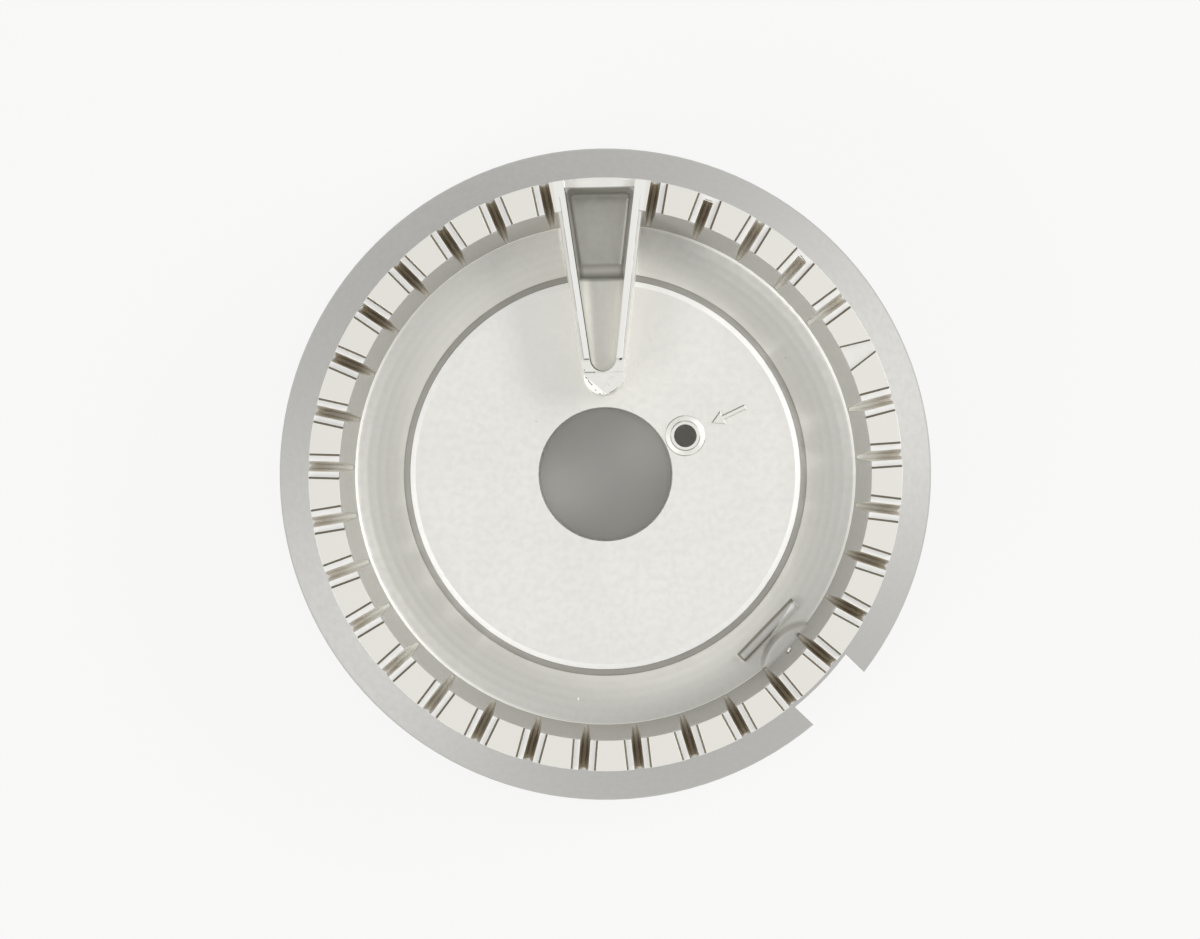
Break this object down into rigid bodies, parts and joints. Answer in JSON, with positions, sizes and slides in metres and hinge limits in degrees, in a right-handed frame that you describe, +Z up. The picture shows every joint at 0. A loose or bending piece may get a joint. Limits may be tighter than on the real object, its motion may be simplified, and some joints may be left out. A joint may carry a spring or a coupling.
{
  "type": "gas burner base",
  "caption": "Round cast base for a hob burner: a centre bore in a raised disc, a gas trough, a ring of slotted flame ports, a simmer chamber and a sloping flange with an igniter notch.",
  "frame": {"origin": "on the burner's axis, level with the foot of the inlet collar that it stands on", "axes": "+Z up along the bore, out of the face that carries the cap; +Y from the axis along the simmer chamber; the igniter notch lies halfway between +X and -Y"},
  "size_m": [0.115, 0.115, 0.0214],
  "materials": {
    "cast_aluminium": "matt as-cast skin, with machined tops on the port ring"
  },
  "bodies": {
    "root": {"burner_base": "cast_aluminium"}
  },
  "joints": []
}
